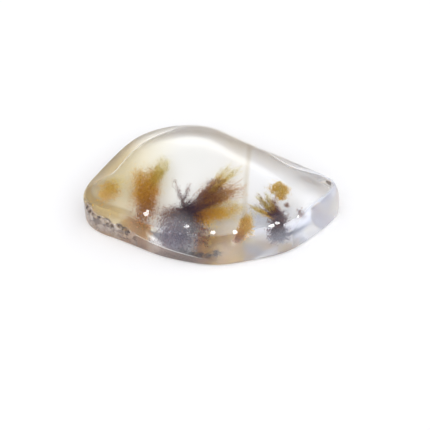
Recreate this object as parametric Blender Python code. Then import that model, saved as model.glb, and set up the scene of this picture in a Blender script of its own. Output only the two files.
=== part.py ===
"""A polished freeform cabochon of dendritic agate: flat underneath, with a low dome on top.

The stone is parted level through its middle, round the mineral growths that are sealed in it.
Metres, +Z up. The origin is the middle of the flat base. +X runs along the stone's length.
"""

import math
import random

import bmesh
import bpy
import numpy as np
from mathutils import Vector

MM = 0.001

# The plan of the stone at its girdle, in millimetres, anticlockwise from the right tip.
# It is a leaf that swells to the back on the left and to the front on the right.
PLAN_MM = [
    (14.85, -1.6), (13.65, 0.1), (12.0, 1.3), (9.05, 3.15), (6.4, 4.9), (3.0, 7.15), (-0.1, 9.0),
    (-2.9, 9.35), (-5.8, 8.8), (-8.8, 7.3), (-11.1, 4.7), (-13.9, 0.2), (-14.9, -2.6), (-14.25, -4.15),
    (-10.85, -6.2), (-5.75, -8.6), (-2.95, -9.4), (0.0, -9.85), (4.9, -9.1), (8.55, -7.95),
    (12.05, -5.4), (14.2, -3.25),
]
HALF_LENGTH = 15.0 * MM

HEIGHT = 5.2 * MM
DOME_RISE = 0.9 * MM          # how far the middle stands above the shoulder
SHOULDER_SHARE = 0.26         # the rounded shoulder takes this share of the way in to the crest
LEAN_SHARE = 0.03             # the side leans in by this share over its height
SHOULDER_POWER = 2.5          # superellipse power: higher is a tighter shoulder

BASE_CHAMFER = 0.3 * MM
GIRDLE_LOW = 0.2 * MM         # top of the small chamfer round the base
GIRDLE_HIGH = 0.7 * MM        # crease over the upright girdle, at the right
GIRDLE_CLIMB = 2.6 * MM       # how much higher that crease runs at the left tip
GIRDLE_LEVEL_TO = 2.2 * MM    # the crease climbs from here leftwards
GIRDLE_POWER = 1.06

# Flat bevels ground into the far shoulder: where each starts and ends along X, and its greatest depth.
FAR_BEVELS_MM = [(-19.5, -3.8, 0.5), (7.0, 17.0, 0.35)]
BEVEL_SLOPE = 0.61
FAR_SIDE = (-2.7 * MM, 1.8 * MM)  # the bevels fade in between these places across the stone

CREST_SHARE = 0.7             # the crest runs over this share of the length
CREST_ACROSS = -1.05 * MM     # where the crest lies across the stone, at its middle
CREST_SLOPE = 0.03            # how it slants towards the back on the right
CREST_END = 0.93              # the last ring, as a share of the way in to the crest

AROUND = 120
SIDE_RINGS = 10
DOME_RINGS = 4

# Natural pits along the crease of the left front edge: place along X, height over the crease and
# radius, in millimetres.
PITS_MM = [
    (-14.20, 0.05, 0.62), (-13.50, -0.20, 0.50), (-12.75, 0.15, 0.28), (-12.00, 0.0, 0.46),
    (-11.45, -0.25, 0.34), (-10.55, 0.10, 0.42), (-9.85, -0.10, 0.52), (-8.95, 0.0, 0.26),
]
PIT_BITE = 0.42               # how deep a pit goes, as a share of its width
FRONT_FROM = -3.5 * MM        # the front edge is what lies nearer than this
PIT_ROUGHNESS = 0.22
PIT_SEED = 7

PART_HEIGHT = 2.6 * MM
PART_GAP = 0.05 * MM          # between the two halves
POCKET_GAP = 0.06 * MM        # between a growth and the stone round it

# The growths. A frond runs from its root to its tip, spreads this far to each side there, and opens
# into this many fingers. A core is a ball where fronds meet. All in millimetres.
GROWTHS_MM = {
    "tip_plume": {
        "fronds": [((-13.2, -3.2, 2.6), (-10.6, 0.3, 2.5), 0.7, 2)],
        "cores": [],
    },
    "amber_plume": {
        "fronds": [
            ((-7.7, -5.0, 2.5), (-7.6, 2.4, 2.4), 1.5, 3),
            ((-7.2, -2.8, 2.5), (-5.6, 2.8, 2.5), 0.5, 1),
        ],
        "cores": [],
    },
    "violet_dendrite": {
        "fronds": [
            ((-2.9, -5.0, 2.8), (-6.0, -4.8, 2.5), 0.8, 2),
            ((-2.8, -4.6, 3.0), (1.4, -1.4, 3.5), 1.2, 3),
            ((-0.9, -3.6, 3.0), (2.2, 1.5, 3.1), 1.1, 2),
            ((-0.3, -3.1, 3.3), (3.2, -1.7, 3.9), 0.5, 1),
            ((-2.3, -5.4, 2.6), (2.3, -3.8, 2.5), 1.6, 3),
            ((-3.0, -4.3, 3.0), (-4.4, -0.7, 3.4), 0.3, 1),
            ((-2.8, -4.2, 3.0), (-2.7, -0.6, 3.6), 0.3, 1),
            ((-2.9, -5.0, 2.6), (-4.6, -6.9, 1.6), 1.2, 2),
            ((-3.4, -6.4, 1.8), (0.9, -8.0, 1.4), 0.4, 1),
        ],
        "cores": [((-2.8, -4.6, 2.8), 1.2)],
    },
    "flower_dendrite": {
        "fronds": [
            ((7.4, -5.6, 2.8), (5.0, -3.2, 3.7), 0.9, 3),
            ((7.6, -5.4, 2.9), (7.7, -1.4, 3.6), 0.8, 2),
            ((7.9, -5.5, 2.9), (10.1, -4.4, 3.5), 0.3, 1),
            ((7.9, -6.2, 2.3), (11.0, -4.6, 2.2), 0.3, 1),
        ],
        "cores": [((7.5, -5.8, 2.5), 1.15)],
    },
    "small_sprig": {
        "fronds": [((2.8, -7.0, 2.2), (4.3, -5.4, 2.8), 0.4, 2)],
        "cores": [],
    },
}
FINGER_SHAPE = [(0.0, 0.55), (0.6, 1.0), (1.0, 0.5)]  # share of the length, and of the radius
FINGER_SIDES = 6
FINGER_LEAST = 0.17           # the thinnest finger's radius, in millimetres
FINGER_ROUGHNESS = 0.16
FINGER_FLATNESS = 0.75        # a finger's thickness as a share of its width
GROWTH_SEED = 11


def closed_curve(points, count):
    """Even samples on the closed cubic spline through the points, which has no jump in its curvature."""
    knots = np.array(points, float)
    n = len(knots)
    ahead = np.roll(knots, -1, axis=0)
    spans = np.linalg.norm(ahead - knots, axis=1)
    slopes = (ahead - knots) / spans[:, None]
    system = np.zeros((n, n))
    for i in range(n):
        system[i, i - 1] += spans[i - 1]
        system[i, i] += 2 * (spans[i - 1] + spans[i])
        system[i, (i + 1) % n] += spans[i]
    bends = np.linalg.solve(system, 6 * (slopes - np.roll(slopes, 1, axis=0)))
    starts = np.concatenate([[0.0], np.cumsum(spans)])
    samples = []
    for place in np.arange(count) * starts[-1] / count:
        i = min(int(np.searchsorted(starts, place, side="right")) - 1, n - 1)
        j, h, a = (i + 1) % n, spans[i], place - starts[i]
        b = h - a
        cubic = (bends[i] * b**3 + bends[j] * a**3) / (6 * h)
        line = (knots[i] / h - bends[i] * h / 6) * b + (knots[j] / h - bends[j] * h / 6) * a
        samples.append(cubic + line)
    return np.array(samples)


def centred_plan():
    """Samples of the plan at real size, moved so that the middle of its extents is the origin."""
    plan = closed_curve(PLAN_MM, AROUND) * MM
    return plan - (plan.min(axis=0) + plan.max(axis=0)) / 2


def girdle_crease(along):
    """Height of the crease over the upright girdle."""
    climb = np.clip((GIRDLE_LEVEL_TO - along) / (GIRDLE_LEVEL_TO + HALF_LENGTH), 0, 1)
    return GIRDLE_HIGH + GIRDLE_CLIMB * climb**GIRDLE_POWER


def side_step(turn):
    """Share of the way in, and of the way up, of the rounded side, for a turn of 0 at its foot to 1."""
    across = math.cos(turn * math.pi / 2) ** (2 / SHOULDER_POWER)
    up = math.sin(turn * math.pi / 2) ** (2 / SHOULDER_POWER)
    return SHOULDER_SHARE * (1 - across) + LEAN_SHARE * up, up


def bevel_depth(plan):
    """How deep the bevels are ground into the far shoulder, for each point of the plan."""
    along, across = plan.T
    rise = np.clip((across - FAR_SIDE[0]) / (FAR_SIDE[1] - FAR_SIDE[0]), 0, 1)
    fade = rise**2 * (3 - 2 * rise)
    depth = 0 * along
    for start, end, deepest in FAR_BEVELS_MM:
        share = np.clip((along / MM - start) / (end - start), 0, 1)
        depth += deepest * MM * np.sin(math.pi * share)
    return fade * depth


def ground_flat(heights, insets, depth):
    """The heights once a flat bevel of this depth is ground into the rounded shoulder."""
    touching = (heights - BEVEL_SLOPE * insets).max(axis=0)
    return np.minimum(heights, touching - depth + BEVEL_SLOPE * insets)


def way_to_crest(plan):
    """The way from each point of the plan in to the crest line, seen from above."""
    along = plan[:, 0] * CREST_SHARE
    return np.column_stack([along, CREST_ACROSS + CREST_SLOPE * along]) - plan


def stone_rings(plan):
    """Every ring of the stone from the edge of its flat base up to its crest."""
    inward = way_to_crest(plan)
    way_in = np.linalg.norm(inward, axis=1)
    steps = [side_step(k / SIDE_RINGS) for k in range(SIDE_RINGS + 1)]
    shoulder = steps[-1][0]
    for k in range(1, DOME_RINGS + 1):
        steps.append((shoulder + (CREST_END - shoulder) * k / DOME_RINGS, 1.0))

    crease = girdle_crease(plan[:, 0])
    heights = []
    for share, up in steps:
        domed = DOME_RISE * (1 - (1 - share) ** 2)
        heights.append(crease + (HEIGHT - DOME_RISE - crease) * up + domed)
    insets = np.outer([share for share, up in steps], way_in)
    heights = ground_flat(np.array(heights), insets, bevel_depth(plan))

    base = plan + inward * (BASE_CHAMFER / way_in)[:, None]
    rings = [np.column_stack([base, 0 * way_in]), np.column_stack([plan, 0 * way_in + GIRDLE_LOW])]
    for (share, up), height in zip(steps, heights):
        rings.append(np.column_stack([plan + inward * share, height]))
    return rings


def closed_mesh(name, rings):
    """A mesh with a quad strip between each ring and the next, and a flat cap at both ends."""
    bm = bmesh.new()
    loops = [[bm.verts.new(point) for point in points] for points in rings]
    for low, high in zip(loops, loops[1:]):
        for i in range(len(low)):
            j = (i + 1) % len(low)
            bm.faces.new((low[i], low[j], high[j], high[i]))
    bm.faces.new(reversed(loops[0]))
    crest = bm.faces.new(loops[-1])
    bmesh.ops.triangulate(bm, faces=[crest])
    bmesh.ops.recalc_face_normals(bm, faces=bm.faces)
    mesh = bpy.data.meshes.new(name)
    bm.to_mesh(mesh)
    bm.free()
    return mesh


def half_mesh(name, whole, height, keep_above):
    """What lies above or below a level cut through the whole stone."""
    bm = bmesh.new()
    bm.from_mesh(whole)
    everything = list(bm.verts) + list(bm.edges) + list(bm.faces)
    bmesh.ops.bisect_plane(
        bm, geom=everything, plane_co=(0, 0, height), plane_no=(0, 0, 1),
        clear_inner=keep_above, clear_outer=not keep_above,
    )
    rim = [edge for edge in bm.edges if edge.is_boundary]
    bmesh.ops.holes_fill(bm, edges=rim, sides=0)
    bmesh.ops.recalc_face_normals(bm, faces=bm.faces)
    mesh = bpy.data.meshes.new(name)
    bm.to_mesh(mesh)
    bm.free()
    return mesh


def material(name, colour, roughness, metallic=0.0):
    """A plain Principled material."""
    made = bpy.data.materials.new(name)
    made.use_nodes = True
    shader = made.node_tree.nodes["Principled BSDF"]
    shader.inputs["Base Color"].default_value = (*colour, 1.0)
    shader.inputs["Roughness"].default_value = roughness
    shader.inputs["Metallic"].default_value = metallic
    return made


def placed(name, mesh):
    """A new object that carries this mesh."""
    made = bpy.data.objects.new(name, mesh)
    bpy.context.collection.objects.link(made)
    return made


def guide(name, bm):
    """A hidden object that only cuts or completes others."""
    mesh = bpy.data.meshes.new(name)
    bm.to_mesh(mesh)
    bm.free()
    made = placed(name, mesh)
    made.hide_render = True
    made.display_type = "WIRE"
    return made


def combine(target, operation, other):
    """An exact Boolean of the target with a guide whose own shapes may cross one another."""
    step = target.modifiers.new(other.name, "BOOLEAN")
    step.operation = operation
    step.solver = "EXACT"
    step.use_self = True
    step.object = other


def pit_cutter(plan):
    """Lumpy balls along the left front crease, which bite the pits out of the stone."""
    rng = random.Random(PIT_SEED)
    front = plan[plan[:, 1] < FRONT_FROM]
    bm = bmesh.new()
    for along, over_crease, radius in PITS_MM:
        nearest = front[[np.argmin(np.abs(front[:, 0] - along * MM))]]
        outward = -Vector((*way_to_crest(nearest)[0], 0)).normalized()
        (x, y), = nearest
        surface = Vector((x, y, girdle_crease(x) + over_crease * MM))
        centre = surface + outward * radius * MM * (1 - 2 * PIT_BITE)
        ball = bmesh.ops.create_icosphere(bm, subdivisions=2, radius=radius * MM)
        for vert in ball["verts"]:
            vert.co *= 1 + PIT_ROUGHNESS * rng.uniform(-1, 1)
            vert.co += centre
    return guide("edge_pits", bm)


def add_finger(bm, rng, start, end, radius, margin):
    """A lumpy tapered finger, grown by the margin all over."""
    way = (end - start).normalized()
    side = way.cross(Vector((0, 0, 1))).normalized()
    over = side.cross(way)
    start, end = start - way * margin, end + way * margin
    rings = []
    for share, width in FINGER_SHAPE:
        ring = []
        for k in range(FINGER_SIDES):
            turn = 2 * math.pi * k / FINGER_SIDES
            wide = radius * width * (1 + FINGER_ROUGHNESS * rng.uniform(-1, 1))
            out = side * math.cos(turn) * (wide + margin)
            up = over * math.sin(turn) * (wide * FINGER_FLATNESS + margin)
            ring.append(bm.verts.new(start.lerp(end, share) + out + up))
        rings.append(ring)
    for low, high in zip(rings, rings[1:]):
        for k in range(FINGER_SIDES):
            j = (k + 1) % FINGER_SIDES
            bm.faces.new((low[k], low[j], high[j], high[k]))
    bm.faces.new(reversed(rings[0]))
    bm.faces.new(rings[-1])


def add_core(bm, rng, centre, radius, margin):
    """A lumpy ball, grown by the margin."""
    ball = bmesh.ops.create_icosphere(bm, subdivisions=1, radius=1.0)
    for vert in ball["verts"]:
        lump = radius * (1 + 0.5 * FINGER_ROUGHNESS * rng.uniform(-1, 1)) + margin
        vert.co = vert.co * lump + centre


def growth_shapes(growth, margin):
    """The fingers and cores of one growth, each a closed shape in its own bmesh."""
    rng = random.Random(GROWTH_SEED)
    shapes = []
    for centre, radius in growth["cores"]:
        bm = bmesh.new()
        add_core(bm, rng, Vector(centre) * MM, radius * MM, margin)
        shapes.append(bm)
    for root, tip, spread, fingers in growth["fronds"]:
        start, end = Vector(root) * MM, Vector(tip) * MM
        side = (end - start).cross(Vector((0, 0, 1))).normalized() * spread * MM
        radius = max(FINGER_LEAST, spread / fingers) * MM
        for k in range(fingers):
            lean = (2 * k + 1) / fingers - 1
            reach = 1 - 0.12 * rng.random()
            bm = bmesh.new()
            add_finger(bm, rng, start, start + (end + side * lean - start) * reach, radius, margin)
            bmesh.ops.recalc_face_normals(bm, faces=bm.faces)
            shapes.append(bm)
    return shapes


def joined(shapes):
    """One bmesh with all the faces of several."""
    whole = bmesh.new()
    for bm in shapes:
        mesh = bpy.data.meshes.new("shape")
        bm.to_mesh(mesh)
        bm.free()
        whole.from_mesh(mesh)
        bpy.data.meshes.remove(mesh)
    return whole


def growth_node(name, growth, finish):
    """One growth as a single solid: its first shape, with the others united to it."""
    first, *others = growth_shapes(growth, 0.0)
    mesh = bpy.data.meshes.new(name)
    first.to_mesh(mesh)
    first.free()
    mesh.materials.append(finish)
    node = placed(name, mesh)
    if others:
        combine(node, "UNION", guide(name + "_fronds", joined(others)))
    return node


def main():
    for old in list(bpy.data.objects):
        bpy.data.objects.remove(old)

    plan = centred_plan()
    whole = closed_mesh("whole_stone", stone_rings(plan))
    pits = pit_cutter(plan)
    shapes = [shape for growth in GROWTHS_MM.values() for shape in growth_shapes(growth, POCKET_GAP)]
    pockets = guide("growth_pockets", joined(shapes))
    clear = material("polished_chalcedony", (0.86, 0.83, 0.74), 0.05)
    for name, height, above in (
        ("agate_base", PART_HEIGHT - PART_GAP / 2, False),
        ("agate_dome", PART_HEIGHT + PART_GAP / 2, True),
    ):
        mesh = half_mesh(name, whole, height, above)
        mesh.shade_smooth()
        mesh.set_sharp_from_angle(angle=math.radians(30))
        mesh.materials.append(clear)
        half = placed(name, mesh)
        combine(half, "DIFFERENCE", pits)
        combine(half, "DIFFERENCE", pockets)
    bpy.data.meshes.remove(whole)

    amber = material("amber_mineral", (0.50, 0.28, 0.05), 0.7)
    violet = material("violet_brown_mineral", (0.10, 0.055, 0.06), 0.7)
    finishes = {"violet_dendrite": violet, "flower_dendrite": violet}
    for name, growth in GROWTHS_MM.items():
        growth_node(name, growth, finishes.get(name, amber))


main()
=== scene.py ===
"""Looks for the dendritic agate cabochon: clear chalcedony with mossy mineral growths inside it."""

import math
import random

import bmesh
import bpy
import numpy as np
from mathutils import Matrix, Vector
from mathutils.bvhtree import BVHTree
from mathutils.interpolate import poly_3d_calc


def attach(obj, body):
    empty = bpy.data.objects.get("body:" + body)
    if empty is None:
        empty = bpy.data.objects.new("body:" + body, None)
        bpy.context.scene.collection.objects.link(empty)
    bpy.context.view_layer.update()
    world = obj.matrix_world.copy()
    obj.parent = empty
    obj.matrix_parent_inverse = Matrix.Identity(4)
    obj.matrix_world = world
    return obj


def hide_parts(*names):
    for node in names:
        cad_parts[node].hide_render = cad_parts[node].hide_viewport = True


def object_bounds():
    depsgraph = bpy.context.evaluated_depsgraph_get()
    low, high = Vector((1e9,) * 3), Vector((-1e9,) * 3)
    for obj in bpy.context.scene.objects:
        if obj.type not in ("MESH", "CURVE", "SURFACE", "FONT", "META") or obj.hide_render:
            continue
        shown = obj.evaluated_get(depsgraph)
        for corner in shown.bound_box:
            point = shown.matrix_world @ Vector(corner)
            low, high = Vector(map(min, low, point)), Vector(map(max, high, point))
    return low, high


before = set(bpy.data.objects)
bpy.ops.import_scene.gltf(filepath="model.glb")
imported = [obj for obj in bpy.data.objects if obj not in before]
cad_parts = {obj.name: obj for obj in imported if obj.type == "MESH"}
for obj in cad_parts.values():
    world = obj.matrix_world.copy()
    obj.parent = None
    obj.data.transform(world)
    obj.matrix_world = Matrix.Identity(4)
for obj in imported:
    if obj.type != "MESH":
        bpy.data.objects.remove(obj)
cad_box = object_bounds()

MM = 0.001

# The stone's shape, with the same values and rules as the solid one.
PLAN_MM = [
    (14.85, -1.6), (13.65, 0.1), (12.0, 1.3), (9.05, 3.15), (6.4, 4.9), (3.0, 7.15), (-0.1, 9.0),
    (-2.9, 9.35), (-5.8, 8.8), (-8.8, 7.3), (-11.1, 4.7), (-13.9, 0.2), (-14.9, -2.6), (-14.25, -4.15),
    (-10.85, -6.2), (-5.75, -8.6), (-2.95, -9.4), (0.0, -9.85), (4.9, -9.1), (8.55, -7.95),
    (12.05, -5.4), (14.2, -3.25),
]
HALF_LENGTH = 15.0 * MM
HEIGHT = 5.2 * MM
DOME_RISE = 0.9 * MM          # how far the middle stands above the shoulder
SHOULDER_SHARE = 0.26         # the rounded shoulder takes this share of the way in to the crest
LEAN_SHARE = 0.03             # the side leans in by this share over its height
SHOULDER_POWER = 2.5          # superellipse power: higher is a tighter shoulder
BASE_CHAMFER = 0.3 * MM
GIRDLE_LOW = 0.2 * MM         # top of the small chamfer round the base
GIRDLE_HIGH = 0.7 * MM        # crease over the upright girdle, at the right
GIRDLE_CLIMB = 2.6 * MM       # how much higher that crease runs at the left tip
GIRDLE_LEVEL_TO = 2.2 * MM    # the crease climbs from here leftwards
GIRDLE_POWER = 1.06

# Flat bevels ground into the far shoulder: where each starts and ends along X, and its greatest depth.
FAR_BEVELS_MM = [(-19.5, -3.8, 0.5), (7.0, 17.0, 0.35)]
BEVEL_SLOPE = 0.61
BEVEL_LEAST = 0.05 * MM       # where a bevel is shallower than this, no painted highlight runs along its edge
NO_BEVEL = -1.0 * MM          # marks the places that no bevel cuts
FAR_SIDE = (-2.7 * MM, 1.8 * MM)  # the bevels fade in between these places across the stone

CREST_SHARE = 0.7             # the crest runs over this share of the length
CREST_ACROSS = -1.05 * MM     # where the crest lies across the stone, at its middle
CREST_SLOPE = 0.03            # how it slants towards the back on the right
CREST_END = 0.93              # the last ring, as a share of the way in to the crest

# Natural pits along the crease of the left front edge: place along X, height over the crease and
# radius, in millimetres.
PITS_MM = [
    (-14.20, 0.05, 0.62), (-13.50, -0.20, 0.50), (-12.75, 0.15, 0.28), (-12.00, 0.0, 0.46),
    (-11.45, -0.25, 0.34), (-10.55, 0.10, 0.42), (-9.85, -0.10, 0.52), (-8.95, 0.0, 0.26),
]
PIT_BITE = 0.42               # how deep a pit goes, as a share of its width
PIT_ROUGHNESS = 0.22          # how far its ball departs from round
PIT_SEED = 7
FRONT_FROM = -3.5 * MM        # the pits lie on this side of the stone, across it
WEAR_EDGE = 1.5               # the stone is worn up to this many radii from a pit's middle
WEAR_FADE = 0.35

# Finer than the solid stone, so that the reflections and what is seen through it run smoothly.
AROUND = 480
SIDE_RINGS = 64
DOME_RINGS = 14
SHARP_EDGE = math.radians(15)

# The photograph's camera. It looks at the target, which it shows at the target's pixel.
IMAGE_SIDE = 430
LENS_MM = 100.0
SENSOR_MM = 36.0
PER_PIXEL = SENSOR_MM / LENS_MM / IMAGE_SIDE
ELEVATION = math.radians(50)
TARGET = Vector((0.0, 0.25, 2.6)) * MM
TARGET_PIXEL = (210.8, 184.5)
DISTANCE = 139.70 * MM

# The crystals that the growths are made of.
SKIN = 0.12 * MM              # growths stay this far under the stone's surface
GROWTH_SEED = 3
TWIG_WOBBLE = 0.05 * MM       # how far a branch drifts from one point to the next
GRAIN_SPACING = 1.4           # from one crystal to the next along a branch, in sizes
GRAIN_SIZES = (0.6, 1.5)      # least and most, in sizes
GRAIN_STRETCH = (0.6, 1.4)
TAPER = 0.4                   # crystals shrink by this share towards the end of a branch
TONE_SCATTER = 0.05

# Growths spread less in height than to the sides, by these shares.
TWIG_FLATNESS = 0.5
STRAY_FLATNESS = 0.6
TUFT_FLATNESS = 0.7

# The branches of a frond, as shares of its length and spread.
FROND_STEPS = 9
FROND_BOWS = (0.5, 1.2)       # under 1 a branch turns aside early, over 1 late
FROND_LENGTHS = (0.5, 1.08)
FROND_LIFT = 0.25 * MM        # how far the branches part in height
FINGER_WIDTH = 1.2            # over 1, the fingers overlap
ROOT_ALONG = 0.15             # branches start up to this far along it
ROOT_ASIDE = 0.2

# The short side shoots of a branch, as shares of its length and of the frond's spread.
SLENDER_TO = 0.5              # a frond narrower than this, in millimetres, has one shoot to a branch
SHOOTS = 3
SHOOT_FROM = 3                # the point of a branch where shoots begin
SHOOT_STEPS = 3
SHOOT_ALONG = (0.1, 0.2)
SHOOT_ASIDE = (0.15, 0.3)
SHOOT_SIZE = 0.8              # its crystals, against those of the branch
SHOOT_TONE = 0.25             # how much further its tone runs on, in steps from root to tip

# The branches of a tuft, as shares of its radius.
TUFT_STEPS = 5
TUFT_BOW = 1.5
TUFT_LEAN = 0.4
TUFT_LENGTHS = (0.6, 1.0)
TUFT_SHORTENING = 0.6         # how much shorter the branches of the loosest tuft are

# The growths, each in the place of its solid, as branches strung with grains of mineral.
# A frond runs from its root to its tip, spreads this far to each side there and opens into this many
# fingers. Then come its number of branches, how far its grains stray from them, the size of a grain,
# and its tones at root and tip, from 0 for black to 1 for cream.
# A tuft is a ball of short branches: centre, radius, looseness from 0 for one middle to 1 for none,
# branches, stray, size, tones at middle and edge. Lengths are in millimetres.
GROWTHS_MM = {
    "tip_plume": {
        "fronds": [
            ((-12.6, -2.4, 2.6), (-10.6, 0.2, 2.5), 0.9, 2, 34, 0.30, 0.045, 0.74, 0.88),
        ],
        "tufts": [
            ((-11.8, -1.5, 2.5), 1.2, 0.8, 130, 0.30, 0.055, 0.62, 0.76),
        ],
    },
    "amber_plume": {
        "fronds": [
            ((-7.6, -5.0, 2.5), (-7.9, 1.4, 2.4), 1.6, 3, 90, 0.32, 0.05, 0.44, 0.76),
            ((-7.2, -1.0, 2.5), (-5.4, 2.9, 2.5), 0.8, 2, 60, 0.20, 0.045, 0.74, 0.94),
        ],
        "tufts": [
            ((-8.3, 0.2, 2.4), 1.3, 0.8, 70, 0.28, 0.055, 0.64, 0.76),
            ((-7.0, 0.4, 2.4), 1.2, 0.8, 60, 0.28, 0.055, 0.64, 0.76),
            ((-7.5, -1.4, 2.4), 1.5, 0.7, 120, 0.26, 0.055, 0.56, 0.68),
            ((-7.3, -3.4, 2.4), 1.2, 0.7, 70, 0.28, 0.045, 0.46, 0.56),
        ],
    },
    "violet_dendrite": {
        "fronds": [
            ((-2.9, -4.9, 2.8), (-6.0, -4.7, 2.5), 0.9, 2, 44, 0.28, 0.06, 0.20, 0.42),
            ((-2.8, -4.6, 3.0), (1.6, -1.4, 3.5), 1.7, 3, 50, 0.12, 0.05, 0.22, 0.50),
            ((-2.0, -4.2, 2.8), (1.4, -1.6, 3.2), 1.6, 3, 50, 0.16, 0.05, 0.38, 0.64),
            ((-0.9, -3.0, 3.0), (2.4, 1.4, 3.1), 1.1, 3, 64, 0.08, 0.04, 0.68, 0.92),
            ((-0.3, -3.1, 3.3), (3.4, -1.5, 3.8), 1.2, 1, 40, 0.02, 0.03, 0.40, 0.54),
            ((-2.3, -5.0, 2.6), (2.7, -3.2, 2.5), 1.8, 4, 96, 0.18, 0.055, 0.44, 0.84),
            ((-2.3, -5.8, 2.4), (0.7, -5.7, 2.2), 0.7, 2, 16, 0.20, 0.05, 0.40, 0.88),
            ((-3.0, -4.3, 3.0), (-4.3, -0.8, 3.4), 0.3, 1, 14, 0.12, 0.045, 0.22, 0.36),
            ((-3.3, -3.2, 3.1), (-2.6, -0.9, 3.5), 0.3, 1, 12, 0.10, 0.04, 0.22, 0.36),
        ],
        "tufts": [
            ((-2.8, -4.7, 2.8), 1.9, 0.4, 210, 0.10, 0.07, 0.12, 0.24),
            ((-0.6, -2.9, 3.2), 1.7, 0.6, 60, 0.14, 0.055, 0.32, 0.50),
            ((0.3, -1.1, 3.3), 1.5, 0.7, 60, 0.14, 0.05, 0.30, 0.48),
            ((-2.9, -6.1, 2.1), 1.7, 0.8, 130, 0.28, 0.085, 0.10, 0.20),
            ((-1.6, -6.2, 2.1), 1.4, 0.9, 60, 0.28, 0.07, 0.24, 0.40),
            ((-4.3, -5.3, 2.4), 1.6, 0.8, 90, 0.30, 0.07, 0.24, 0.38),
            ((-4.4, -6.4, 1.6), 1.7, 0.9, 80, 0.35, 0.075, 0.16, 0.26),
            ((-3.2, -8.3, 1.4), 0.9, 0.5, 40, 0.03, 0.06, 0.00, 0.06),
            ((-2.3, -8.6, 1.3), 0.9, 0.5, 40, 0.03, 0.06, 0.00, 0.06),
            ((-1.4, -8.8, 1.3), 0.8, 0.5, 40, 0.03, 0.06, 0.02, 0.06),
            ((-0.5, -8.9, 1.3), 0.7, 0.5, 34, 0.02, 0.06, 0.00, 0.06),
            ((0.5, -8.6, 1.5), 0.8, 0.5, 36, 0.02, 0.06, 0.02, 0.06),
        ],
    },
    "flower_dendrite": {
        "fronds": [
            ((7.2, -5.2, 2.8), (5.2, -2.8, 3.4), 0.3, 1, 44, 0.05, 0.045, 0.66, 0.98),
            ((7.0, -5.4, 2.8), (4.5, -4.2, 3.2), 0.3, 1, 44, 0.05, 0.045, 0.60, 0.90),
            ((7.3, -5.2, 2.8), (6.2, -2.6, 3.5), 0.25, 1, 36, 0.05, 0.045, 0.64, 0.96),
            ((7.2, -5.3, 2.9), (5.2, -3.4, 3.6), 1.1, 3, 18, 0.03, 0.04, 0.26, 0.42),
            ((7.4, -5.2, 2.9), (6.9, -3.2, 3.4), 0.5, 1, 26, 0.12, 0.045, 0.28, 0.42),
            ((8.1, -6.6, 2.1), (11.1, -5.0, 2.2), 0.4, 1, 26, 0.03, 0.045, 0.02, 0.08),
            ((7.0, -6.6, 2.0), (6.2, -7.2, 1.5), 0.3, 1, 8, 0.02, 0.035, 0.02, 0.06),
            ((7.7, -6.8, 2.0), (7.7, -7.5, 1.5), 0.3, 1, 8, 0.02, 0.035, 0.02, 0.06),
        ],
        "tufts": [
            ((7.3, -5.3, 2.9), 1.4, 0.35, 210, 0.06, 0.06, 0.16, 0.28),
            ((7.35, -6.35, 2.2), 1.8, 0.4, 270, 0.06, 0.06, 0.14, 0.26),
            ((7.1, -1.7, 3.4), 0.7, 0.8, 90, 0.12, 0.055, 0.70, 0.80),
            ((8.3, -1.8, 3.4), 0.7, 0.8, 90, 0.12, 0.055, 0.70, 0.80),
            ((7.7, -1.2, 3.4), 0.6, 0.8, 80, 0.10, 0.055, 0.72, 0.82),
            ((7.7, -2.0, 3.4), 0.7, 0.8, 80, 0.10, 0.055, 0.70, 0.80),
            ((7.8, -2.7, 3.4), 0.7, 0.8, 80, 0.10, 0.055, 0.66, 0.78),
            ((9.9, -4.6, 3.1), 0.6, 0.6, 44, 0.10, 0.045, 0.30, 0.40),
            ((8.5, -3.9, 3.2), 0.45, 0.6, 26, 0.08, 0.045, 0.32, 0.44),
        ],
    },
    "small_sprig": {
        "fronds": [
            ((2.5, -7.4, 2.0), (4.3, -5.2, 2.8), 0.6, 2, 60, 0.16, 0.045, 0.44, 0.80),
        ],
        "tufts": [
            ((3.8, -6.0, 2.5), 0.9, 0.7, 110, 0.18, 0.05, 0.62, 0.78),
        ],
    },
}

# The mineral's colour by tone.
TONES = [
    (0.00, (0.010, 0.008, 0.014)), (0.12, (0.055, 0.026, 0.070)), (0.28, (0.21, 0.085, 0.095)),
    (0.42, (0.42, 0.16, 0.05)), (0.56, (0.88, 0.42, 0.045)), (0.72, (0.98, 0.68, 0.08)),
    (0.86, (0.99, 0.86, 0.25)), (1.00, (0.98, 0.94, 0.60)),
]

MINERAL_ROUGHNESS = 0.7

# Tint of the clear stone by its place along the length, in millimetres from the middle.
TINTS = [
    (-15.0, (0.95, 0.90, 0.76)), (-10.0, (0.955, 0.92, 0.79)), (-4.0, (0.97, 0.97, 0.955)),
    (1.0, (0.97, 0.965, 0.95)), (3.4, (0.975, 0.96, 0.925)), (4.4, (0.985, 0.985, 0.985)),
    (15.0, (0.985, 0.985, 0.985)),
]

# The band seam: where it crosses the middle line, how it slants across the stone, and over what width
# the left side's finish gives way to the right side's.
SEAM_AT = 3.95 * MM
SEAM_SLANT = 0.08
SEAM_BLEND = 0.6 * MM

# A bluish haze at the front shoulder: its middle, how far it reaches, and its even core.
HAZE_PLACE = (-4.2 * MM, -7.6 * MM, 3.2 * MM)
HAZE_REACH = 3.3 * MM
HAZE_CORE = 0.3 * HAZE_REACH

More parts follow.
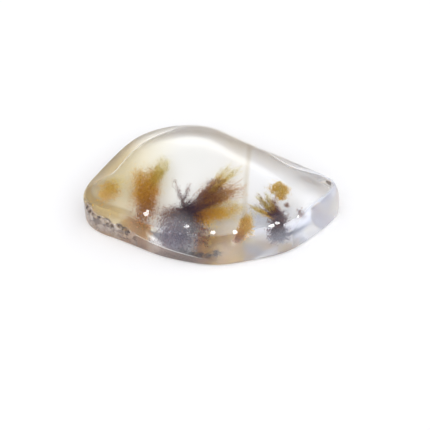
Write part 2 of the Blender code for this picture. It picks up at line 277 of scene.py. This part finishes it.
# Where the parts of the finish fade in, from none to full. A slope is the upward share of the surface's
# normal, from 1 on the level dome over 0 on an upright side to -1 underneath.
UNDERSIDE_SLOPE = (-0.9, -0.5)
SIDE_SLOPE = (0.75, 0.25)
RIM_SLOPE = (0.98, 0.88)
END_SLOPE = (0.97, 0.7)
BEVEL_HIGHLIGHT_SLOPE = (0.88, 0.93)
FRONT_ACROSS = (-1.0 * MM, -4.0 * MM)
TIP_ALONG = (-7.5 * MM, -10.5 * MM)
END_ALONG = (8.0 * MM, 12.5 * MM)
MIDDLE_ALONG = (-0.6 * MM, 1.2 * MM)
GIRDLE_ALONG = (1.0 * MM, -3.0 * MM)
CREASE_HIGHLIGHT_ALONG = (0.0, -3.0 * MM)
GIRDLE_EDGE = (0.0, -0.08)    # millimetres over the crease

# Thin bands on the surface, the band seam and the painted highlights along the crease and bevel edges:
# their middle, and the distances from it of their outer edge and full core.
# The seam's are real sizes, and the two highlights' are in millimetres over the crease and under the
# bevel.
SEAM_LINE = (0.0, 0.5 * MM, 0.0)
CREASE_HIGHLIGHT = (0.08, 0.10, 0.03)
BEVEL_HIGHLIGHT = (0.0, 0.05, 0.02)

# What the surface is tinted with, and how strongly where that isn't in full.
LEFT_SLOPE = (0.96, 0.94, 0.91)
# The right slopes and the right end are milky, and their bluish-grey tint is also a painted reflection of
# the lavender horizon and painted shade.
RIGHT_SLOPE_WITH_REFLECTION = (0.80, 0.85, 0.98)
RIGHT_BACK = (0.97, 0.98, 1.0)
HAZE_COLOUR = (0.36, 0.33, 0.41)
SEAM_COLOUR = (0.80, 0.74, 0.62)
SEAM_STRENGTH = 0.5
TIP_STAIN = (0.62, 0.46, 0.20)
# The girdle's brown stain, darkened further as a painted contact shadow along the bottom edge.
GIRDLE_STAIN_AND_SHADOW = (0.36, 0.27, 0.23)
GIRDLE_STRENGTH = 0.9
# A painted highlight: this pale colour along the crease and the bevel edges stands in for the light that
# these edges catch.
HIGHLIGHT_LINE_COLOUR = (1.0, 0.98, 0.95)
PIT_DARK = (0.12, 0.085, 0.075)
PIT_PALE = (0.60, 0.50, 0.42)
PATCH_SCALE = 1.3 / MM
PATCH_EDGE = (0.42, 0.62)

# How cloudy each part makes the stone, from 0 for clear. Clouds add up to the most that it may have. The
# painted highlights are clouded too, so that they show pale.
CLOUDS = {
    "right front": 0.22, "left front": 0.04, "middle front": 0.15, "end": 0.45, "haze": 0.25,
    "tip side": 0.2, "girdle": 0.30, "highlight_lines": 0.4, "worn": 0.4,
}
MOST_CLOUD = 0.48
STONE_IOR = 1.54
CLEAR_ROUGHNESS = 0.02
CLOUD_ROUGHNESS = 0.16
HAZE_ROUGHNESS = 0.05
MOST_ROUGHNESS = 0.14

# The studio's light, and the dim gap round the way in which the dome mirrors the camera.
HORIZON_LIGHT = (0.50, 0.51, 0.58)
OVERHEAD_LIGHT = (1.0, 1.0, 1.0)
OVERHEAD = 0.9
GAP_LIGHT = (0.16, 0.16, 0.17)
GAP_EDGE = (0.88, 0.96)
SKY_STRENGTH = 1.40

# Small bright reflections of the studio lamps on the shoulder: pixel, width and height of each.
GLINTS = [
    ((146, 214), 6, 5), ((187, 226.5), 4.5, 3.5), ((213, 232.5), 5, 4), ((235, 232), 5, 4),
    ((272, 225.5), 6, 3.5), ((277.5, 223), 5, 3), ((298, 216.5), 2, 2),
]
LAMP_DISTANCE = 10 * MM
LAMP_GLOW = 12.0

FLOOR_REACH = 2.0
FLOOR_GAP = 0.01 * MM
PAPER_COLOUR = (0.95, 0.95, 0.95)
PAPER_ROUGHNESS = 0.9

# Light that enters the stone is mirrored to and fro in it many times before it leaves.
MOST_BOUNCES = 40
MOST_REFLECTIONS = 32


def closed_curve(points, count):
    """Even samples on the closed cubic spline through the points."""
    knots = np.array(points, float)
    n = len(knots)
    ahead = np.roll(knots, -1, axis=0)
    spans = np.linalg.norm(ahead - knots, axis=1)
    slopes = (ahead - knots) / spans[:, None]
    system = np.zeros((n, n))
    for i in range(n):
        system[i, i - 1] += spans[i - 1]
        system[i, i] += 2 * (spans[i - 1] + spans[i])
        system[i, (i + 1) % n] += spans[i]
    bends = np.linalg.solve(system, 6 * (slopes - np.roll(slopes, 1, axis=0)))
    starts = np.concatenate([[0.0], np.cumsum(spans)])
    samples = []
    for place in np.arange(count) * starts[-1] / count:
        i = min(int(np.searchsorted(starts, place, side="right")) - 1, n - 1)
        j, h, a = (i + 1) % n, spans[i], place - starts[i]
        b = h - a
        cubic = (bends[i] * b**3 + bends[j] * a**3) / (6 * h)
        line = (knots[i] / h - bends[i] * h / 6) * b + (knots[j] / h - bends[j] * h / 6) * a
        samples.append(cubic + line)
    return np.array(samples)


def fitted_plan():
    """The plan at real size, centred, and drawn in to the solid stone's own extents."""
    plan = closed_curve(PLAN_MM, AROUND) * MM
    low, high = plan.min(axis=0), plan.max(axis=0)
    plan -= (low + high) / 2
    cad_size = np.array(cad_box[1])[:2] - np.array(cad_box[0])[:2]
    return plan * np.minimum(1.0, cad_size / (high - low))


def girdle_crease(along):
    """Height of the crease over the upright girdle."""
    climb = np.clip((GIRDLE_LEVEL_TO - along) / (GIRDLE_LEVEL_TO + HALF_LENGTH), 0, 1)
    return GIRDLE_HIGH + GIRDLE_CLIMB * climb**GIRDLE_POWER


def side_step(turn):
    """Share of the way in, and of the way up, of the rounded side, for a turn of 0 at its foot to 1."""
    across = math.cos(turn * math.pi / 2) ** (2 / SHOULDER_POWER)
    up = math.sin(turn * math.pi / 2) ** (2 / SHOULDER_POWER)
    return SHOULDER_SHARE * (1 - across) + LEAN_SHARE * up, up


def bevel_depth(plan):
    """How deep the bevels are ground into the far shoulder, for each point of the plan."""
    along, across = plan.T
    rise = np.clip((across - FAR_SIDE[0]) / (FAR_SIDE[1] - FAR_SIDE[0]), 0, 1)
    fade = rise**2 * (3 - 2 * rise)
    depth = 0 * along
    for start, end, deepest in FAR_BEVELS_MM:
        share = np.clip((along / MM - start) / (end - start), 0, 1)
        depth += deepest * MM * np.sin(math.pi * share)
    return fade * depth


def bevel_planes(heights, insets, depth):
    """The height of the flat bevel over each place of the rounded shoulder."""
    touching = (heights - BEVEL_SLOPE * insets).max(axis=0)
    return touching - depth + BEVEL_SLOPE * insets


def way_to_crest(plan):
    """The way from each point of the plan in to the crest line, seen from above."""
    along = plan[:, 0] * CREST_SHARE
    return np.column_stack([along, CREST_ACROSS + CREST_SLOPE * along]) - plan


def stone_rings(plan):
    """Every ring of the stone from its flat base up to its crest, and what the bevels cut off there."""
    inward = way_to_crest(plan)
    way_in = np.linalg.norm(inward, axis=1)
    steps = [side_step(k / SIDE_RINGS) for k in range(SIDE_RINGS + 1)]
    shoulder = steps[-1][0]
    for k in range(1, DOME_RINGS + 1):
        steps.append((shoulder + (CREST_END - shoulder) * k / DOME_RINGS, 1.0))

    crease = girdle_crease(plan[:, 0])
    heights = []
    for share, up in steps:
        domed = DOME_RISE * (1 - (1 - share) ** 2)
        heights.append(crease + (HEIGHT - DOME_RISE - crease) * up + domed)
    insets = np.outer([share for share, up in steps], way_in)
    depth = bevel_depth(plan)
    planes = bevel_planes(np.array(heights), insets, depth)
    cut_off = np.where(depth > BEVEL_LEAST, np.array(heights) - planes, NO_BEVEL)
    heights = np.minimum(heights, planes)

    base = plan + inward * (BASE_CHAMFER / way_in)[:, None]
    rings = [np.column_stack([base, 0 * way_in]), np.column_stack([plan, 0 * way_in + GIRDLE_LOW])]
    for (share, up), height in zip(steps, heights):
        rings.append(np.column_stack([plan + inward * share, height]))
    cut_off = np.concatenate([np.full(2 * len(plan), NO_BEVEL), cut_off.ravel()])
    return rings, cut_off


def closed_mesh(name, rings):
    """A mesh with a quad strip between each ring and the next, and a flat cap at both ends."""
    bm = bmesh.new()
    loops = [[bm.verts.new(point) for point in points] for points in rings]
    for low, high in zip(loops, loops[1:]):
        for i in range(len(low)):
            j = (i + 1) % len(low)
            bm.faces.new((low[i], low[j], high[j], high[i]))
    bm.faces.new(reversed(loops[0]))
    crest = bm.faces.new(loops[-1])
    bmesh.ops.triangulate(bm, faces=[crest])
    bmesh.ops.recalc_face_normals(bm, faces=bm.faces)
    mesh = bpy.data.meshes.new(name)
    bm.to_mesh(mesh)
    bm.free()
    return mesh


def placed(name, mesh):
    """A new object in the scene that carries this mesh."""
    made = bpy.data.objects.new(name, mesh)
    bpy.context.scene.collection.objects.link(made)
    return made


def pit_places(plan):
    """Centre and radius of the ball that bites each pit out of the left front crease."""
    front = plan[plan[:, 1] < FRONT_FROM]
    places = []
    for along, over_crease, radius in PITS_MM:
        nearest = front[[np.argmin(np.abs(front[:, 0] - along * MM))]]
        outward = -Vector((*way_to_crest(nearest)[0], 0)).normalized()
        (x, y), = nearest
        surface = Vector((x, y, girdle_crease(x) + over_crease * MM))
        places.append((surface + outward * radius * MM * (1 - 2 * PIT_BITE), radius * MM))
    return places


def pit_cutter(pits):
    """Lumpy balls at the pits."""
    rng = random.Random(PIT_SEED)
    bm = bmesh.new()
    for centre, radius in pits:
        ball = bmesh.ops.create_icosphere(bm, subdivisions=2, radius=radius)
        for vert in ball["verts"]:
            vert.co *= 1 + PIT_ROUGHNESS * rng.uniform(-1, 1)
            vert.co += centre
    mesh = bpy.data.meshes.new("pit_balls")
    bm.to_mesh(mesh)
    bm.free()
    return placed("pit_balls", mesh)


def wear(point, pits):
    """1 in a pit, falling to 0 a little way outside it."""
    nearest = min((point - centre).length / radius for centre, radius in pits)
    return min(1.0, max(0.0, (WEAR_EDGE - nearest) / WEAR_FADE))


def mark(mesh, name, values):
    """Keeps a value for each of the mesh's points under this name."""
    mesh.attributes.new(name, "FLOAT", "POINT").data.foreach_set("value", values)


def polished_stone():
    """The finer stone with its pits cut, and with the values that its finish goes by."""
    plan = fitted_plan()
    rings, cut_off = stone_rings(plan)
    mesh = closed_mesh("agate_stone", rings)
    mark(mesh, "cut_off", cut_off / MM)
    stone = placed("agate_stone", mesh)
    cut = stone.modifiers.new("edge pits", "BOOLEAN")
    cut.operation = "DIFFERENCE"
    cut.solver = "EXACT"
    cut.use_self = True
    pits = pit_places(plan)
    cut.object = pit_cutter(pits)
    bpy.context.view_layer.update()
    pitted = bpy.data.meshes.new_from_object(stone.evaluated_get(bpy.context.evaluated_depsgraph_get()))
    bpy.data.objects.remove(cut.object)
    stone.modifiers.clear()
    stone.data = pitted
    pitted.shade_smooth()
    pitted.set_sharp_from_angle(angle=SHARP_EDGE)
    points = [vert.co for vert in pitted.vertices]
    mark(pitted, "facing_up", [vert.normal.z for vert in pitted.vertices])
    mark(pitted, "over_crease", [(point.z - girdle_crease(point.x)) / MM for point in points])
    mark(pitted, "worn", [wear(point, pits) for point in points])
    return stone


def photo_camera():
    """The camera that looks along the photograph's line of sight, with the target at its pixel."""
    data = bpy.data.cameras.new("photo_camera")
    data.lens = LENS_MM
    data.sensor_width = SENSOR_MM
    camera = placed("photo_camera", data)
    back = Vector((0.0, -math.cos(ELEVATION), math.sin(ELEVATION)))
    camera.location = TARGET + back * DISTANCE
    aside = (TARGET_PIXEL[0] - IMAGE_SIDE / 2) * PER_PIXEL
    down = (TARGET_PIXEL[1] - IMAGE_SIDE / 2) * PER_PIXEL
    camera.rotation_euler = (math.pi / 2 - ELEVATION + math.atan(down), 0.0, math.atan(aside))
    bpy.context.scene.camera = camera
    bpy.context.view_layer.update()
    return camera


def any_step(rng, flatness):
    """A random step of about one unit to each side, and of less in height."""
    return Vector((rng.gauss(0, 1), rng.gauss(0, 1), rng.gauss(0, flatness)))


def twig(rng, start, way, side, lean, bow, steps):
    """Points from start along way, drifting to one side by lean, late or early by its bow."""
    points = []
    drift = Vector((0, 0, 0))
    for k in range(steps + 1):
        t = k / steps
        drift += any_step(rng, TWIG_FLATNESS) * TWIG_WOBBLE
        points.append((t, start + way * t + side * lean * t**bow + drift))
    return points


class Grains:
    """Specks of mineral collected for one growth."""

    def __init__(self, stone_tree, seed):
        self.stone_tree = stone_tree
        self.rng = random.Random(seed)
        self.places = []
        self.sizes = []
        self.tones = []

    def add(self, point, size, tone):
        """Keeps a grain if it lies inside the stone, clear of its skin."""
        near, normal, _, _ = self.stone_tree.find_nearest(point)
        if (point - near).dot(normal) < -SKIN:
            self.places.append(point)
            self.sizes.append(size)
            self.tones.append(tone)

    def along(self, points, stray, size, tones):
        """Grains strung along a branch, each a little off it."""
        rng = self.rng
        for (t, here), (_, ahead) in zip(points, points[1:]):
            count = max(1, round((ahead - here).length / (size * GRAIN_SPACING)))
            for k in range(count):
                off = any_step(rng, STRAY_FLATNESS) * stray
                tone = tones[0] + (tones[1] - tones[0]) * t + rng.gauss(0, TONE_SCATTER)
                point = here.lerp(ahead, k / count) + off
                self.add(point, size * rng.uniform(*GRAIN_SIZES) * (1 - TAPER * t), tone)

    def frond(self, root, tip, spread, fingers, branches, stray, size, tone_root, tone_tip):
        """A feathery fan of branches with short side shoots."""
        rng = self.rng
        start, end = Vector(root) * MM, Vector(tip) * MM
        side = (end - start).cross(Vector((0, 0, 1))).normalized() * spread * MM
        shoots = 1 if spread < SLENDER_TO else SHOOTS
        stray, size = stray * MM, size * MM
        for k in range(branches):
            finger = (2 * (k % fingers) + 1) / fingers - 1
            lean = finger + rng.triangular(-1, 1, 0) * FINGER_WIDTH / fingers
            way = (end - start) * rng.uniform(*FROND_LENGTHS)
            way.z += rng.gauss(0, FROND_LIFT)
            begin = start + (end - start) * rng.uniform(0, ROOT_ALONG) + side * rng.gauss(0, ROOT_ASIDE)
            points = twig(rng, begin, way, side, lean, rng.uniform(*FROND_BOWS), FROND_STEPS)
            self.along(points, stray, size, (tone_root, tone_tip))
            for _ in range(shoots):
                t, fork = points[rng.randrange(SHOOT_FROM, FROND_STEPS)]
                shoot = way * rng.uniform(*SHOOT_ALONG)
                shoot += side * rng.choice((-1, 1)) * rng.uniform(*SHOOT_ASIDE)
                tone = tone_root + (tone_tip - tone_root) * t
                tones = (tone, tone + (tone_tip - tone_root) * SHOOT_TONE)
                shoot_points = twig(rng, fork, shoot, side, 0, 1, SHOOT_STEPS)
                self.along(shoot_points, stray, SHOOT_SIZE * size, tones)

    def tuft(self, centre, radius, looseness, branches, stray, size, tone_middle, tone_edge):
        """A ball of short branches that part from its middle, or from places round it."""
        rng = self.rng
        reach = radius * MM

        def any_way():
            return any_step(rng, TUFT_FLATNESS).normalized()

        for _ in range(branches):
            middle = Vector(centre) * MM + any_way() * reach * looseness * rng.random() ** (1 / 3)
            way = any_way()
            side = way.cross(Vector((0, 0, 1))) * reach
            way *= reach * rng.uniform(*TUFT_LENGTHS) * (1 - TUFT_SHORTENING * looseness)
            lean = rng.uniform(-TUFT_LEAN, TUFT_LEAN)
            points = twig(rng, middle, way, side, lean, TUFT_BOW, TUFT_STEPS)
            self.along(points, stray * MM, size * MM, (tone_middle, tone_edge))

    def piece(self, name, finish):
        """One mesh of small four-sided crystals, with the tone of each in an attribute."""
        draw = np.random.default_rng(len(self.places))
        corners = np.array([(1, 1, 1), (1, -1, -1), (-1, 1, -1), (-1, -1, 1)], float) / math.sqrt(3)
        places = np.array(self.places)
        count = len(places)
        turns, _ = np.linalg.qr(draw.normal(size=(count, 3, 3)))
        stretch = draw.uniform(*GRAIN_STRETCH, (count, 1, 3))
        crystals = (corners * stretch) @ turns * np.array(self.sizes)[:, None, None] + places[:, None]
        faces = np.array([(0, 1, 2), (0, 3, 1), (0, 2, 3), (1, 3, 2)])
        faces = (faces[None] + 4 * np.arange(count)[:, None, None]).reshape(-1, 3)
        mesh = bpy.data.meshes.new(name)
        mesh.from_pydata(crystals.reshape(-1, 3).tolist(), [], faces.tolist())
        mark(mesh, "tone", np.repeat(self.tones, 4).astype(np.float32))
        mesh.materials.append(finish)
        return placed(name, mesh)


def new_material(name):
    """A material with its node tree and Principled shader."""
    made = bpy.data.materials.new(name)
    made.use_nodes = True
    return made, made.node_tree, made.node_tree.nodes["Principled BSDF"]


def colour_ramp(tree, value, stops):
    """The colour for a value of 0 to 1 on a ramp with these places and colours."""
    ramp = tree.nodes.new("ShaderNodeValToRGB")
    elements = ramp.color_ramp.elements
    while len(elements) < len(stops):
        elements.new(0.5)
    for element, (place, colour) in zip(elements, stops):
        element.position = place
        element.color = (*colour, 1.0)
    tree.links.new(value, ramp.inputs["Fac"])
    return ramp.outputs["Color"]


def attribute(tree, name):
    """The value that the mesh holds under this name."""
    node = tree.nodes.new("ShaderNodeAttribute")
    node.attribute_name = name
    return node.outputs["Fac"]


def math_node(tree, operation, first, second):
    """One sum of two values, each a number or a socket."""
    node = tree.nodes.new("ShaderNodeMath")
    node.operation = operation
    for socket, value in zip(node.inputs, (first, second)):
        if isinstance(value, (int, float)):
            socket.default_value = value
        else:
            tree.links.new(value, socket)
    return node.outputs[0]


def both(tree, *shares):
    """The product of several shares, each a number or a socket."""
    product = shares[0]
    for share in shares[1:]:
        product = math_node(tree, "MULTIPLY", product, share)
    return product


def vector_value(tree, operation, vector, fixed):
    """One number worked out from a vector socket and a fixed vector."""
    node = tree.nodes.new("ShaderNodeVectorMath")
    node.operation = operation
    node.inputs[1].default_value = fixed
    tree.links.new(vector, node.inputs[0])
    return node.outputs["Value"]


def faded(tree, value, start, end):
    """0 where the value is at start, rising smoothly to 1 at end."""
    node = tree.nodes.new("ShaderNodeMapRange")
    node.interpolation_type = "SMOOTHSTEP"
    node.inputs["From Min"].default_value = start
    node.inputs["From Max"].default_value = end
    tree.links.new(value, node.inputs["Value"])
    return node.outputs["Result"]


def line_at(tree, value, middle, edge, core):
    """1 within the core's distance of the middle value, fading to 0 at the edge's distance."""
    away = math_node(tree, "ABSOLUTE", math_node(tree, "SUBTRACT", value, middle), 0)
    return faded(tree, away, edge, core)


def mixed(tree, share, first, second):
    """A colour that goes from first to second by the share. Each is a colour or a socket."""
    node = tree.nodes.new("ShaderNodeMix")
    node.data_type = "RGBA"
    tree.links.new(share, node.inputs["Factor"])
    for name, colour in (("A", first), ("B", second)):
        socket = next(i for i in node.inputs if i.name == name and i.type == "RGBA")
        if isinstance(colour, tuple):
            socket.default_value = (*colour, 1.0)
        else:
            tree.links.new(colour, socket)
    return next(o for o in node.outputs if o.type == "RGBA")


def mineral_finish():
    """Colour from near black through violet, brown, rust and gold to cream, by each crystal's tone."""
    made, tree, shader = new_material("dendrites")
    tree.links.new(colour_ramp(tree, attribute(tree, "tone"), TONES), shader.inputs["Base Color"])
    shader.inputs["Roughness"].default_value = MINERAL_ROUGHNESS
    return made


def stone_parts(tree, place):
    """How far each place of the stone's surface belongs to each part of the finish, from 0 to 1."""
    split = tree.nodes.new("ShaderNodeSeparateXYZ")
    tree.links.new(place, split.inputs[0])
    x, y, _ = split.outputs
    up = attribute(tree, "facing_up")
    over_crease = attribute(tree, "over_crease")
    seam_here = math_node(tree, "ADD", both(tree, y, SEAM_SLANT), SEAM_AT)
    from_seam = math_node(tree, "SUBTRACT", x, seam_here)
    from_haze = vector_value(tree, "DISTANCE", place, HAZE_PLACE)

    outside = faded(tree, up, *UNDERSIDE_SLOPE)
    side = faded(tree, up, *SIDE_SLOPE)
    left = faded(tree, from_seam, SEAM_BLEND, -SEAM_BLEND)
    right = math_node(tree, "SUBTRACT", 1.0, left)
    front = both(tree, side, faded(tree, y, *FRONT_ACROSS))
    back = math_node(tree, "SUBTRACT", side, front)
    tip = faded(tree, x, *TIP_ALONG)
    # The upright girdle under the crease, for its stain and its painted shadow along the bottom edge.
    shadowed_girdle_side = both(tree, faded(tree, over_crease, *GIRDLE_EDGE), outside)
    crease_highlight = line_at(tree, over_crease, *CREASE_HIGHLIGHT)
    bevel_highlight = line_at(tree, attribute(tree, "cut_off"), *BEVEL_HIGHLIGHT)
    # Painted highlights along the girdle crease at the left and along the edge of each bevel.
    highlight_lines = math_node(
        tree, "MAXIMUM",
        both(tree, crease_highlight, faded(tree, x, *CREASE_HIGHLIGHT_ALONG)),
        both(tree, bevel_highlight, faded(tree, up, *BEVEL_HIGHLIGHT_SLOPE)),
    )
    return {
        "along": x,
        "left": left,
        "front": front,
        "seam": line_at(tree, from_seam, *SEAM_LINE),
        "end": both(tree, faded(tree, up, *END_SLOPE), outside, faded(tree, x, *END_ALONG)),
        "tip side": both(tree, tip, side),
        "tip rim": both(tree, tip, faded(tree, up, *RIM_SLOPE), outside),
        "left front": both(tree, front, left),
        "right front": both(tree, front, right),
        "middle front": both(tree, front, left, faded(tree, x, *MIDDLE_ALONG)),
        "right back": both(tree, back, right),
        "girdle": both(tree, shadowed_girdle_side, faded(tree, x, *GIRDLE_ALONG)),
        "haze": both(tree, outside, faded(tree, from_haze, HAZE_REACH, HAZE_CORE)),
        "highlight_lines": highlight_lines,
        "worn": attribute(tree, "worn"),
    }


def stone_tint(tree, along):
    """The clear stone's faint tint, which changes along its length."""
    low, high = TINTS[0][0], TINTS[-1][0]
    share = tree.nodes.new("ShaderNodeMapRange")
    share.inputs["From Min"].default_value = low * MM
    share.inputs["From Max"].default_value = high * MM
    tree.links.new(along, share.inputs["Value"])
    stops = [((at - low) / (high - low), colour) for at, colour in TINTS]
    return colour_ramp(tree, share.outputs["Result"], stops)


def stone_colour(tree, place, parts):
    """The tint of the stone, with what colours its skin laid over it: stains and wear, and painted
    shadow, reflection and highlights.
    """
    noise = tree.nodes.new("ShaderNodeTexNoise")
    noise.inputs["Scale"].default_value = PATCH_SCALE
    tree.links.new(place, noise.inputs["Vector"])
    pit_skin = mixed(tree, faded(tree, noise.outputs["Fac"], *PATCH_EDGE), PIT_DARK, PIT_PALE)

    # Milky slopes, bluish-grey on the right as painted reflection and shade.
    slope = mixed(tree, parts["left"], RIGHT_SLOPE_WITH_REFLECTION, LEFT_SLOPE)
    colour = stone_tint(tree, parts["along"])
    for share, laid_over in (
        (math_node(tree, "MAXIMUM", parts["front"], parts["end"]), slope),
        (parts["right back"], RIGHT_BACK),
        (parts["haze"], HAZE_COLOUR),
        (both(tree, parts["seam"], SEAM_STRENGTH), SEAM_COLOUR),
        (parts["tip rim"], TIP_STAIN),
        # stain and painted shadow along the girdle
        (both(tree, parts["girdle"], GIRDLE_STRENGTH), GIRDLE_STAIN_AND_SHADOW),
        # painted highlights along the crease and bevel edges
        (parts["highlight_lines"], HIGHLIGHT_LINE_COLOUR),
        (parts["worn"], pit_skin),
    ):
        colour = mixed(tree, share, colour, laid_over)
    return colour


def chalcedony_finish():
    """Clear stone with a faint tint, a band seam, milky right slopes tinted bluish-grey as painted
    reflection and shade, a worn and stained left rim with painted shadow along its girdle, and painted
    highlights along its crease and bevel edges.
    """
    made, tree, shader = new_material("polished_chalcedony")
    place = tree.nodes.new("ShaderNodeTexCoord").outputs["Object"]
    parts = stone_parts(tree, place)
    tree.links.new(stone_colour(tree, place, parts), shader.inputs["Base Color"])

    cloud = 0.0
    for name, strength in CLOUDS.items():
        cloud = math_node(tree, "ADD", cloud, both(tree, parts[name], strength))
    cloud = math_node(tree, "MINIMUM", cloud, MOST_CLOUD)
    tree.links.new(math_node(tree, "SUBTRACT", 1.0, cloud), shader.inputs["Transmission Weight"])

    rough = math_node(tree, "ADD", CLEAR_ROUGHNESS, both(tree, cloud, CLOUD_ROUGHNESS))
    rough = math_node(tree, "ADD", rough, both(tree, parts["haze"], HAZE_ROUGHNESS))
    tree.links.new(math_node(tree, "MINIMUM", rough, MOST_ROUGHNESS), shader.inputs["Roughness"])
    shader.inputs["IOR"].default_value = STONE_IOR
    return made


def lit_world():
    """Even studio light, brightest overhead, with a dim gap where the dome would mirror it."""
    world = bpy.data.worlds.new("studio")
    bpy.context.scene.world = world
    world.use_nodes = True
    tree = world.node_tree
    way = tree.nodes.new("ShaderNodeTexCoord").outputs["Generated"]
    height = vector_value(tree, "DOT_PRODUCT", way, (0.0, 0.0, 1.0))
    sky = mixed(tree, faded(tree, height, 0.0, OVERHEAD), HORIZON_LIGHT, OVERHEAD_LIGHT)
    mirror_way = (0.0, math.cos(ELEVATION), math.sin(ELEVATION))
    gap = faded(tree, vector_value(tree, "DOT_PRODUCT", way, mirror_way), *GAP_EDGE)
    background = tree.nodes["Background"]
    tree.links.new(mixed(tree, gap, sky, GAP_LIGHT), background.inputs["Color"])
    background.inputs["Strength"].default_value = SKY_STRENGTH


def mirrored_place(camera, stone, stone_tree, column, row):
    """Where a lamp shows at this pixel as a reflection in the stone, and the way to it from the stone."""
    aside = (column - IMAGE_SIDE / 2) * PER_PIXEL
    upward = (IMAGE_SIDE / 2 - row) * PER_PIXEL
    sight = (camera.matrix_world.to_3x3() @ Vector((aside, upward, -1))).normalized()
    point, _, index, _ = stone_tree.ray_cast(camera.location, sight)
    corners = [stone.data.vertices[v] for v in stone.data.polygons[index].vertices]
    weights = poly_3d_calc([corner.co for corner in corners], point)
    normal = sum((w * corner.normal for w, corner in zip(weights, corners)), Vector())
    way = sight.reflect(normal.normalized())
    return point + way * LAMP_DISTANCE, way


def glint_lamps(camera, stone, stone_tree):
    """A lamp for each glint, of the size and at the place that the shoulder mirrors to it."""

    def lamp_at(column, row):
        return mirrored_place(camera, stone, stone_tree, column, row)

    for number, ((column, row), width, height) in enumerate(GLINTS):
        middle, way = lamp_at(column, row)
        across = lamp_at(column + width / 2, row)[0] - lamp_at(column - width / 2, row)[0]
        upward = lamp_at(column, row - height / 2)[0] - lamp_at(column, row + height / 2)[0]
        flat = way.orthogonal().normalized()
        level = way.cross(flat)
        spread = np.array([(side.dot(flat), side.dot(level)) for side in (across, upward)]).T
        axes, lengths, _ = np.linalg.svd(spread)
        local_x = flat * axes[0, 0] + level * axes[1, 0]
        local_y = way.cross(local_x)
        data = bpy.data.lights.new(f"glint_{number}", "AREA")
        data.shape = "ELLIPSE"
        data.size, data.size_y = lengths
        data.energy = LAMP_GLOW * math.pi * data.size * data.size_y
        lamp = placed(f"glint_{number}", data)
        lamp.matrix_world = Matrix((local_x, local_y, way)).transposed().to_4x4()
        lamp.location = middle
        lamp.visible_diffuse = False
        lamp.visible_transmission = False
        lamp.visible_camera = False


def paper_floor():
    """A plain pale floor."""
    mesh = bpy.data.meshes.new("floor")
    corners = [(x * FLOOR_REACH, y * FLOOR_REACH, 0) for x, y in ((-1, -1), (1, -1), (1, 1), (-1, 1))]
    mesh.from_pydata(corners, [], [(0, 1, 2, 3)])
    paper, _, shader = new_material("paper")
    shader.inputs["Base Color"].default_value = (*PAPER_COLOUR, 1.0)
    shader.inputs["Roughness"].default_value = PAPER_ROUGHNESS
    mesh.materials.append(paper)
    floor = placed("floor", mesh)
    floor.location.z = -FLOOR_GAP


def dressed_stone():
    """The clear stone in place of both halves of the solid one."""
    stone = polished_stone()
    stone.data.materials.clear()
    stone.data.materials.append(chalcedony_finish())
    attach(stone, "root")
    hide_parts("agate_base", "agate_dome")
    return stone


def dressed_growths(stone_tree):
    """Each growth's crystals in place of its solid."""
    finish = mineral_finish()
    for number, (name, growth) in enumerate(GROWTHS_MM.items()):
        grains = Grains(stone_tree, GROWTH_SEED + number)
        for frond in growth["fronds"]:
            grains.frond(*frond)
        for tuft in growth["tufts"]:
            grains.tuft(*tuft)
        piece = grains.piece(name + "_grains", finish)
        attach(piece, "root")
        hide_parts(name)


def main():
    camera = photo_camera()
    stone = dressed_stone()
    stone_tree = BVHTree.FromObject(stone, bpy.context.evaluated_depsgraph_get())
    dressed_growths(stone_tree)
    paper_floor()
    lit_world()
    glint_lamps(camera, stone, stone_tree)

    scene = bpy.context.scene
    scene.view_settings.view_transform = "Standard"
    scene.cycles.blur_glossy = 0.0
    scene.cycles.max_bounces = MOST_BOUNCES
    scene.cycles.glossy_bounces = MOST_REFLECTIONS
    scene.cycles.transmission_bounces = MOST_BOUNCES


main()
